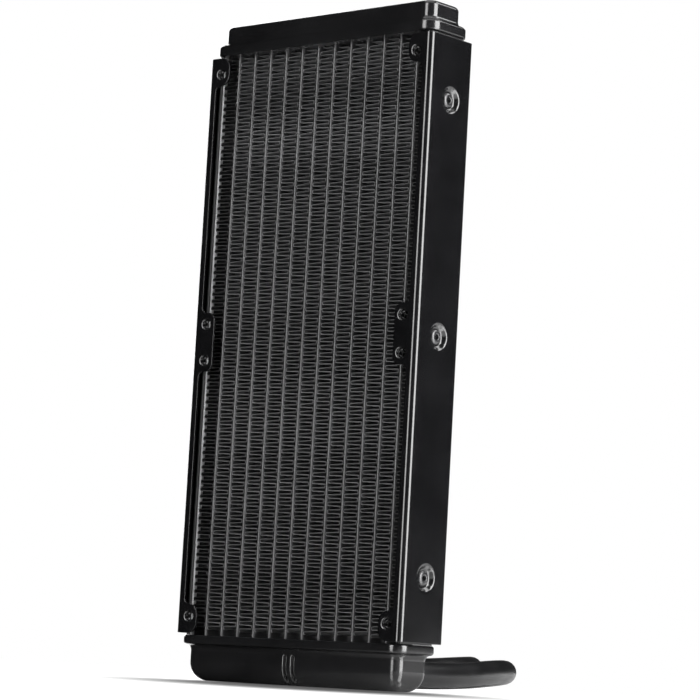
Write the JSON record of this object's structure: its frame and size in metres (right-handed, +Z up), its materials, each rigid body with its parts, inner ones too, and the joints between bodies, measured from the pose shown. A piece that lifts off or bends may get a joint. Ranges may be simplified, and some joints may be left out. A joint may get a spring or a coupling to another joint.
{
  "type": "liquid cooling radiator",
  "caption": "Slim finned radiator for two 120 mm fans in folded side channels between end tanks, with two hoses that lead to a pump.",
  "frame": {"origin": "centre of the bottom tank's flat lower face, on which the radiator stands", "axes": "+Z up along the radiator's length, front fan face towards -Y, +X to the right seen from the front"},
  "size_m": [0.2241, 0.2206, 0.2719],
  "materials": {
    "black_paint": "smooth semi-gloss black paint over folded or drawn aluminium",
    "core_black": "thin black coat over brazed aluminium tubes and fins",
    "black_rivet": "black coated blind rivet",
    "bare_aluminium": "bare brazed aluminium, inside the tanks",
    "black_fitting": "black anodised turned fitting",
    "hose_rubber": "smooth satin black rubber",
    "seal_rubber": "matt black sealing rubber"
  },
  "bodies": {
    "root": {"top_tank": "black_paint", "bottom_tank": "black_paint", "left_side_channel": "black_paint", "right_side_channel": "black_paint", "fill_plug": "black_paint", "flow_partition": "bare_aluminium", "top_header_plate": "core_black", "bottom_header_plate": "core_black", "left_core_plate": "core_black", "right_core_plate": "core_black", "flat_tube_01": "core_black", "flat_tube_02": "core_black", "flat_tube_03": "core_black", "flat_tube_04": "core_black", "flat_tube_05": "core_black", "flat_tube_06": "core_black", "flat_tube_07": "core_black", "flat_tube_08": "core_black", "flat_tube_09": "core_black", "flat_tube_10": "core_black", "flat_tube_11": "core_black", "flat_tube_12": "core_black", "fin_strip_01": "core_black", "fin_strip_02": "core_black", "fin_strip_03": "core_black", "fin_strip_04": "core_black", "fin_strip_05": "core_black", "fin_strip_06": "core_black", "fin_strip_07": "core_black", "fin_strip_08": "core_black", "fin_strip_09": "core_black", "fin_strip_10": "core_black", "fin_strip_11": "core_black", "fin_strip_12": "core_black", "fin_strip_13": "core_black", "left_channel_rivets": "black_rivet", "right_channel_rivets": "black_rivet", "fill_plug_seal": "seal_rubber", "inlet_hose": "hose_rubber", "inlet_fitting": "black_fitting", "inlet_ferrule": "black_fitting", "inlet_pump_connector": "black_fitting", "inlet_pump_ferrule": "black_fitting", "inlet_o_ring": "seal_rubber", "inlet_pump_o_ring": "seal_rubber", "outlet_hose": "hose_rubber", "outlet_fitting": "black_fitting", "outlet_ferrule": "black_fitting", "outlet_pump_connector": "black_fitting", "outlet_pump_ferrule": "black_fitting", "outlet_o_ring": "seal_rubber", "outlet_pump_o_ring": "seal_rubber"}
  },
  "joints": []
}
